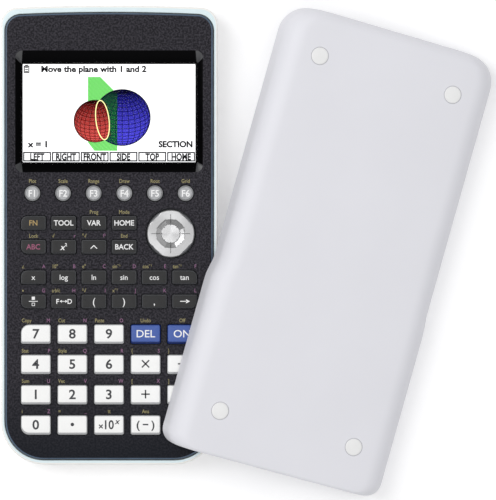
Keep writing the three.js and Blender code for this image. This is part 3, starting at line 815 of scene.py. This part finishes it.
def display():
    """The lit panel with a plane cutting two spheres, a line of words, and six soft keys."""
    cx, cy = screen_centre()
    _, lcd_high = node_box("lcd_module")
    base = lcd_high.z + 0.03
    layer = [base + 0.03 * k for k in range(8)]
    low_y, high_y = cy - SCREEN["height"] / 2, cy + SCREEN["height"] / 2
    white = glow("screen_white", srgb(255, 255, 255), srgb(252, 253, 255), low_y, high_y, 0.75)
    ink = glow("screen_ink", srgb(16, 16, 20), srgb(16, 16, 20), low_y, high_y, 0.1)
    grey = glow("screen_grey", srgb(150, 148, 156), srgb(150, 148, 156), low_y, high_y, 0.4)
    green = glow("screen_green", srgb(120, 225, 112), srgb(128, 232, 118), low_y, high_y, 0.3,
                 stripe=0.5, depth=0.18)
    blue = glow("screen_blue", srgb(2, 2, 100), srgb(84, 78, 240), cy - 14.5, cy + 8, 0.35)
    teal = glow("screen_teal", srgb(14, 70, 44), srgb(28, 120, 62), cy - 13.5, cy + 10, 0.25,
                stripe=0.5, depth=0.18)
    red = glow("screen_red", srgb(104, 4, 4), srgb(226, 84, 78), cy - 12.5, cy + 4.0, 0.35)
    yellow = glow("screen_yellow", srgb(250, 244, 170), srgb(250, 244, 170), low_y, high_y, 0.7)

    def shifted(points, dx, dy):
        return [(x + cx + dx, y + cy + dy) for x, y in points]

    def patch(piece, points, z, slot=0):
        piece.add(at(points, z), [tuple(range(len(points)))], slot)

    panel = Piece()
    bar(panel, cx, cy, SCREEN["width"], SCREEN["height"], base - 0.02, 0)
    place(panel.object("screen_panel", [white]), "calculator", slot="lcd_module")

    plane = Piece()
    outline = [(-8.7, -12.0), (-6.0, -15.5), (3.4, -15.5), (3.4, 7.9), (-3.6, 14.9), (-8.7, 14.9)]
    patch(plane, shifted(outline, 0, 0), layer[1])
    place(plane.object("screen_plane", [green]), "calculator", slot="lcd_module")

    ball = Piece()
    radius, bx, by = 11.5, 5.4, -1.8
    patch(ball, shifted(circle(0, 0, radius, 72), bx, by), layer[2], 0)
    patch(ball, shifted(clipped_disc(radius, 3.4 - bx), bx, by), layer[3], 1)
    ribbon(ball, shifted(circle(0, 0, radius, 72), bx, by), 0.35, layer[4], 2, closed=True)
    for index, line in enumerate(globe_lines(radius, 24, 26, 20)):
        ribbon(ball, shifted(line, bx, by), 0.21, layer[4] + LINE_STEP * index, 2)
    blue_line = glow("screen_blue_line", srgb(2, 2, 24), srgb(8, 8, 70), cy - 13, cy + 10, 0.3)
    place(ball.object("screen_blue_sphere", [blue, teal, blue_line]), "calculator", slot="lcd_module")

    ring = []
    tilt = math.radians(6.8)
    for k in range(48):
        a = 2 * math.pi * k / 48
        u, v = 2.7 * math.cos(a), 8.1 * math.sin(a)
        ring.append((u * math.cos(tilt) - v * math.sin(tilt) - 2.7,
                     u * math.sin(tilt) + v * math.cos(tilt) - 2.86))
    ball = Piece()
    radius, bx, by = 8.6, -5.8, -3.3
    start, end = math.radians(75), math.radians(298)
    turns = [start + (end - start) * k / 40 for k in range(41)]
    arc = [(bx + radius * math.cos(turn), by + radius * math.sin(turn)) for turn in turns]
    right_side = ring[37:48] + ring[0:12]
    patch(ball, shifted(arc + right_side, 0, 0), layer[5], 0)
    ribbon(ball, shifted(arc, 0, 0), 0.3, layer[6], 1)
    for index, line in enumerate(globe_lines(radius, 24, 24, 16)):
        kept = [p for p in line if p[0] + bx < 0.2 - 0.12 * (p[1] + by + 2.86)]
        if len(kept) > 1:
            ribbon(ball, shifted(kept, bx, by), 0.21, layer[6] + LINE_STEP * index, 1)
    ribbon(ball, shifted(ring, 0, 0), 0.4, layer[7], 2, closed=True)
    red_line = glow("screen_red_line", srgb(24, 0, 0), srgb(80, 10, 10), cy - 12, cy + 6, 0.3)
    place(ball.object("screen_red_sphere", [red, red_line, yellow]), "calculator", slot="lcd_module")

    words = Piece()
    bar(words, cx + 1.6, cy + 15.6, SCREEN["width"] - 3.4, 0.22, layer[1], 1)
    write(words, "Move the plane with 1 and 2", cx - 28, cy + 18.2, layer[2], 2.5, 0, squeeze=1.08, weight=0.13,
          align="LEFT")
    write(words, "x = 1", cx - 33.2, cy - 12.7, layer[2], 2.5, 0, squeeze=1.12, weight=0.15, align="LEFT")
    write(words, "SECTION", cx + 34.4, cy - 12.7, layer[2], 2.5, 0, squeeze=0.98, weight=0.15, align="RIGHT")
    frame_lines(words, cx - 33.9, cy + 18.0, 2.3, 3.0, 0.4, layer[2], 0)
    bar(words, cx - 33.9, cy + 19.6, 1.2, 0.4, layer[2], 0)
    for row in range(3):
        bar(words, cx - 33.9, cy + 17.2 + 0.8 * row, 1.2, 0.4, layer[2], 0)
    soft_keys = ["LEFT", "RIGHT", "FRONT", "SIDE", "TOP", "HOME"]
    pitch = SCREEN["width"] / len(soft_keys)
    for k, label in enumerate(soft_keys):
        x = cx - SCREEN["width"] / 2 + pitch * (k + 0.5)
        frame_lines(words, x, cy - 17.9, pitch - 0.4, 3.9, 0.5, layer[2], 0)
        write(words, label, x, cy - 17.9, layer[2], 2.7, 0, squeeze=0.76, weight=0.15)
    place(words.object("screen_words", [ink, grey]), "calculator", slot="lcd_module")


def window():
    """Clear window with a black printed border on its back."""
    low, high = node_box("display_window")
    glass = Piece()
    loops = [(0, low.z), (0, high.z - 0.12), (0.12, high.z)]
    centre_x, centre_y = (low.x + high.x) / 2, (low.y + high.y) / 2
    width, length = high.x - low.x, high.y - low.y
    glass.loft([at(rounded(centre_x, centre_y, width - 2 * inset, length - 2 * inset, [0.6] * 4), z)
                for inset, z in loops])
    place(glass.object("window_pane", [clear_window("window_clear")]), "calculator", "display_window",
          slot="display_glass")
    border = Piece()
    outer = rounded(centre_x, centre_y, width - 0.2, length - 0.2, [0.6] * 4)
    cx, cy = screen_centre()
    inner = rounded(cx, cy, SCREEN["width"], SCREEN["height"], [0.3] * 4)
    z = low.z - 0.04
    count = len(outer)
    border.add(at(outer, z) + at(inner, z), [(i, (i + 1) % count, (i + 1) % count + count, i + count)
                                             for i in range(count)])
    place(border.object("window_border", [RECESS_BLACK]), "calculator", slot="display_glass")


# ---- rear case and the back ----------------------------------------------------------------------

def rear_case():
    low, high = node_box("rear_case")
    top = high.z
    outside = [(3.2, 0.0), (2.2, 0.05), (1.3, 0.35), (0.6, 1.0), (0.2, 1.9), (0.0, 3.2), (0.0, top - 1.1),
               (0.12, top - 0.5), (0.4, top - 0.12), (0.75, top)]
    inside = [(-0.5, top - 0.02), (-0.3, top - 0.25), (-0.3, 2.6), (0.6, 1.8)]
    rings = [at(body_loop(low, high, BODY_RADII, inset), z) for inset, z in outside]
    face_low, face_high = node_box("front_case")
    rings += [at(body_loop(face_low, face_high, FACE_RADII, inset), z) for inset, z in inside]
    piece = Piece()
    # The flat rim and the first step inside it take the pale cyan: a painted reflection.
    bands = [0] * 9 + [2] * 2 + [0] * 2
    piece.loft(rings, ring_slots=bands)
    built = piece.object("rear_tub", [PALE_CASE, DARK_AND_SHADE, RIM_REFLECTION])
    cutters = Piece()
    bay_low, bay_high = node_box("battery_cover")
    bay = rounded((bay_low.x + bay_high.x) / 2, (bay_low.y + bay_high.y) / 2, bay_high.x - bay_low.x + 0.6,
                  bay_high.y - bay_low.y + 0.6, [1.2] * 4)
    cutters.loft([at(bay, -1), at(bay, 6)])
    for x, y in SCREWS:
        cutters.loft([at(circle(x, y, 2.3, 32), -1), at(circle(x, y, 2.3, 32), 1.2)])
    board_low, _ = node_box("circuit_board")
    # Slot 1 leaves the walls of the socket holes near black: painted shade.
    for x, width, height in PORTS:
        z0 = board_low.z + 0.3
        y0, y1 = high.y - 8, high.y + 2
        loop = [(x - width / 2, y0), (x + width / 2, y0), (x + width / 2, y1), (x - width / 2, y1)]
        cutters.loft([at(loop, z0), at(loop, z0 + height)], slot=1)
    carve(built, [cutters.object("rear_cutters", [PALE_CASE, DARK_AND_SHADE])])
    place(built, "calculator", "rear_case", slot="pale_case")


SCREWS = [(-34, 84), (39, 66), (-37, 14), (-34, -80), (34, -80)]
PORTS = [(24.0, 7.9, 3.9), (35.0, 5.2, 4.2)]


def screws():
    piece = Piece()
    for x, y in SCREWS:
        profile = [(2.0, 1.15), (2.0, 0.75), (1.7, 0.5), (0.9, 0.42)]
        rings = [at(list(reversed(circle(x, y, r, 32))), z) for r, z in profile]
        piece.loft(rings)
        # Two dark bars on each head: painted shade standing for the cross recess.
        for turn in (0, 90):
            c, s = math.cos(math.radians(turn + 20)), math.sin(math.radians(turn + 20))
            corners = [(-1.1, -0.18), (-1.1, 0.18), (1.1, 0.18), (1.1, -0.18)]
            piece.add([(x + c * px - s * py, y + s * px + c * py, 0.4) for px, py in corners], [(0, 1, 2, 3)], 1)
    place(piece.object("case_screws", [STEEL, DARK_AND_SHADE]), "calculator", slot="pale_case")


def sockets():
    """Metal shells and tongues in the mouths of the two sockets in the top end."""
    _, case_high = node_box("rear_case")
    board_low, _ = node_box("circuit_board")
    piece = Piece()
    back, front = case_high.y - 3.2, case_high.y - 0.9
    for x, width, height in PORTS:
        middle = board_low.z + 0.3 + height / 2
        outer = rounded(x, middle, width - 0.3, height - 0.3, [0.7] * 4, 4)
        inner = rounded(x, middle, width - 0.9, height - 0.9, [0.5] * 4, 4)
        count = len(outer)
        vertices = [(px, y, pz) for loop, y in ((outer, back), (outer, front), (inner, front), (inner, back))
                    for px, pz in loop]
        faces = []
        for ring in range(3):
            for i in range(count):
                a, b = ring * count + i, ring * count + (i + 1) % count
                faces.append((a, a + count, b + count, b))
        piece.add(vertices, faces, 0)
        # A dark sheet across the back of each mouth: painted shade.
        piece.add([(px, back + 0.05, pz) for px, pz in inner], [tuple(range(count))], 1)
        tongue = rounded(x, middle, width - 2.6, 0.7, [0.2] * 4, 3)
        size = len(tongue)
        piece.add([(px, y, pz) for y in (back, front - 0.4) for px, pz in tongue],
                  [(i, i + size, (i + 1) % size + size, (i + 1) % size) for i in range(size)]
                  + [tuple(range(size, 2 * size))[::-1]], 1)
    place(piece.object("socket_mouths", [STEEL, DARK_AND_SHADE]), "calculator", slot="circuit_board")


def battery_cover():
    """Lid of the battery bay: five grip ribs cut across it, each narrower than the one before."""
    low, high = node_box("battery_cover")
    cx, cy = (low.x + high.x) / 2, (low.y + high.y) / 2
    width, length = high.x - low.x, high.y - low.y
    piece = Piece()
    profile = [(0.35, 0.0), (0.1, 0.12), (0, 0.4), (0, high.z)]
    rings = [at(rounded(cx, cy, width - 2 * inset, length - 2 * inset, [1.0] * 4), z) for inset, z in profile]
    piece.loft(rings)
    built = piece.object("battery_lid", [PALE_CASE, DARK_AND_SHADE])
    cutters = Piece()
    for k in range(5):
        y = high.y - 4.0 - 2.0 * k
        loop = rounded(cx, y, 14 - 1.6 * k, 0.9, [0.4] * 4)
        cutters.loft([at(loop, -1), at(loop, 0.45)])
    carve(built, [cutters.object("lid_cutters", [PALE_CASE])])
    place(built, "battery_cover", "battery_cover", slot="pale_case")


# ---- hard cover ----------------------------------------------------------------------------------

def cover_rows(inset):
    """Places along the cover from its open end to its closed one: distance, height and half width."""
    c = COVER
    half_length = c["length"] / 2
    start, stop = -half_length + c["low_corner"], half_length - c["top_corner"]
    top_radius = c["top_corner"] - inset
    end_radius = c["end_round"] - inset
    end = half_length - inset

    def half_width(y, narrowing):
        blend = min(1, max(0, (c["step_from"] - y) / (c["step_from"] - c["step_to"])))
        half = c["width"] / 2 - inset - narrowing * (1 - blend * blend * (3 - 2 * blend))
        if y < start:
            half -= c["low_corner"] - math.sqrt(max(0, c["low_corner"] ** 2 - (start - y) ** 2))
        if y > stop:
            half -= top_radius - math.sqrt(max(0, top_radius ** 2 - (y - stop) ** 2))
        return half

    along = [start - c["low_corner"] * math.cos(math.pi / 2 * k / 10) for k in range(10)]
    along += [start + (stop - start) * k / 60 for k in range(60)]
    along += [stop + top_radius * math.sin(math.pi / 2 * k / 20) for k in range(21)]
    rows = []
    for y in along:
        into = max(0, y - (end - end_radius))
        drop = end_radius - math.sqrt(max(0, end_radius ** 2 - into ** 2))
        near = max(0, c["low_round"] - (y + half_length)) if inset == 0 else 0
        drop += c["low_round"] - math.sqrt(max(0, c["low_round"] ** 2 - near ** 2))
        rows.append((y, c["depth"] - inset - drop, [half_width(y, narrowing) for narrowing in c["narrowing"]]))
    return rows


def cover_section(y, height, halves, inset):
    """Points across the cover at one place: up the left wall, over the top and down the right wall."""
    c = COVER
    reach = min(c["round"] - inset, height * 0.9)
    lean = math.atan(c["draft"] / c["depth"])
    sides = []
    for half in halves:
        centre = half - (reach + (height - reach) * math.sin(lean)) / math.cos(lean)
        meet_x, meet_z = centre + reach * math.cos(lean), height - reach + reach * math.sin(lean)
        side = [(half + (meet_x - half) * k / 6, meet_z * k / 6) for k in range(6)]
        for k in range(15):
            angle = lean + (math.pi / 2 - lean) * k / 14
            side.append((centre + reach * math.cos(angle), height - reach + reach * math.sin(angle)))
        side += [(centre * k / 6, height) for k in range(5, 0, -1)]
        sides.append(side)
    return [(-x, y, z) for x, z in sides[0]] + [(0, y, height)] + [(x, y, z) for x, z in reversed(sides[1])]


def cover_skin(inset):
    """The cover's outer skin, or with an inset its inner one, down to the rim of its closed end."""
    sections = [cover_section(*row, inset) for row in cover_rows(inset)]
    last = sections[-1]
    return sections + [[(x, y, z * (1 - k / 4)) for x, y, z in last] for k in range(1, 5)]


def hard_cover():
    """A shell with a wall of even thickness, open below and at its lower end, and its four feet."""
    c = COVER
    outer, inner = cover_skin(0), cover_skin(c["wall"])
    rows, count = len(outer), len(outer[0])
    piece = Piece()
    faces = []
    offset = rows * count
    for r in range(rows - 1):
        for i in range(count - 1):
            a, b = r * count + i, (r + 1) * count + i
            faces.append((a, a + 1, b + 1, b))
            faces.append((offset + a, offset + b, offset + b + 1, offset + a + 1))
    edge = list(range(count)) + [r * count + count - 1 for r in range(1, rows)]
    edge += [(rows - 1) * count + i for i in range(count - 2, -1, -1)]
    edge += [r * count for r in range(rows - 2, 0, -1)]
    for i, a in enumerate(edge):
        b = edge[(i + 1) % len(edge)]
        faces.append((b, a, offset + a, offset + b))
    piece.add([p for row in outer + inner for p in row], faces)
    built = piece.object("cover_shell", [COVER_SHELL], 50)
    lie = cover_lie(built)
    feet = Piece()
    for sx in (-1, 1):
        for sy in (-1, 1):
            x, y = sx * c["foot_x"], sy * c["foot_y"]
            # The outer step of each foot takes the darker ring: a painted shadow in the gap.
            profile = [(c["foot"], -0.5, 1), (c["foot"], 0.02, 1), (c["foot"] - 0.3, 0.02, 1),
                       (c["foot"] - 0.3, 0.1, 0), (c["foot"] - 0.5, 0.3, 0), (c["foot"] - 1.2, 0.38, 0)]
            feet.loft([at(circle(x, y, r), c["depth"] + z) for r, z, _ in profile],
                      ring_slots=[part for _, _, part in profile[1:]])
    placed_feet = feet.object("cover_feet", [FOOT, FOOT_RING_SHADOW])
    for item in (built, placed_feet):
        item.data.transform(lie)
        place(item, "slide_cover", slot="cover")
    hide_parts("slide_cover")


def cover_lie(built):
    """The turn and tilt of the cover as it lies, and the shift into the box that its CAD solid fills."""
    c = COVER
    tilt = math.asin(c["rest"] / c["width"])
    turn = Matrix.Rotation(math.radians(c["turn"]), 4, "Z") @ Matrix.Rotation(tilt, 4, "Y")
    points = [turn @ v.co for v in built.data.vertices]
    low = Vector([min(p[i] for p in points) for i in range(3)])
    high = Vector([max(p[i] for p in points) for i in range(3)])
    cad_low, cad_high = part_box("slide_cover")
    shift = (cad_low + cad_high) / 2 - (low + high) / 2
    shift.z = cad_low.z - low.z
    return Matrix.Translation(shift) @ turn


# ---- pieces that stay as CAD nodes ---------------------------------------------------------------

def dress(node, material):
    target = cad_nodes[node]
    target.data.materials.clear()
    target.data.materials.append(material)


rear_case()
screws()
sockets()
battery_cover()
front_case()
face_legends()
window()
display()
for key_name in SMALL_LABELS:
    small_key(key_name)
for key_name in BIG_LABELS:
    big_key(key_name)
for key_number in range(1, 7):
    round_key(key_number)
cursor_disc()
hard_cover()
dress("lcd_module", PANEL)
dress("keypad_sheet", RUBBER)
dress("circuit_board", BOARD)
dress("cursor_pivot", DARK_AND_SHADE)
for number in range(1, 5):
    dress(f"battery_{number}", CELL)

# ---- floor, light and camera ---------------------------------------------------------------------

floor_piece = Piece()
bar(floor_piece, 60, 0, 3000, 3000, -0.12, 0)
floor_finish = surface("floor", srgb(243, 243, 244), rough=0.8, vary=0.01, vary_size=300, bump=0.0)
floor_finish.node_tree.nodes["Principled BSDF"].inputs["Emission Color"].default_value = (1, 1, 1, 1)
floor_finish.node_tree.nodes["Principled BSDF"].inputs["Emission Strength"].default_value = 0.2
floor = floor_piece.object("floor", [floor_finish])


def softbox(name, place_m, aim_m, size, power):
    lamp = bpy.data.lights.new(name, "AREA")
    lamp.shape = "RECTANGLE"
    lamp.size, lamp.size_y = size
    lamp.energy = power
    holder = bpy.data.objects.new(name, lamp)
    holder.location = place_m
    holder.rotation_euler = (Vector(aim_m) - Vector(place_m)).to_track_quat("-Z", "Y").to_euler()
    bpy.context.scene.collection.objects.link(holder)


AIM = (0.06, 0.0, 0.0)
softbox("key_light", (-0.7, 0.4, 1.25), AIM, (0.9, 0.9), 9)
softbox("fill_light", (0.9, 0.3, 1.0), AIM, (1.0, 1.0), 1.5)
softbox("top_light", (0.06, -0.2, 1.6), AIM, (1.2, 1.2), 6.5)

world = bpy.data.worlds.new("studio")
world.use_nodes = True
world.node_tree.nodes["Background"].inputs["Color"].default_value = (1, 1, 1, 1)
world.node_tree.nodes["Background"].inputs["Strength"].default_value = 0.42
bpy.context.scene.world = world
bpy.context.scene.view_settings.view_transform = "Standard"

CAMERA_HEIGHT = 1.6
VIEW = {"x": 57.0 * MM, "y": -6.1 * MM, "width": 203.5 * MM, "level": 17.0 * MM}
camera_data = bpy.data.cameras.new("camera")
camera_data.type = "PERSP"
camera_data.sensor_fit = "HORIZONTAL"
camera_data.sensor_width = 36
camera_data.lens = 36 * (CAMERA_HEIGHT - VIEW["level"]) / VIEW["width"]
camera_data.clip_start = 0.05
camera_data.clip_end = 10
camera = bpy.data.objects.new("camera", camera_data)
camera.location = (VIEW["x"], VIEW["y"], CAMERA_HEIGHT)
camera.rotation_euler = (0, 0, 0)
bpy.context.scene.collection.objects.link(camera)
bpy.context.scene.camera = camera
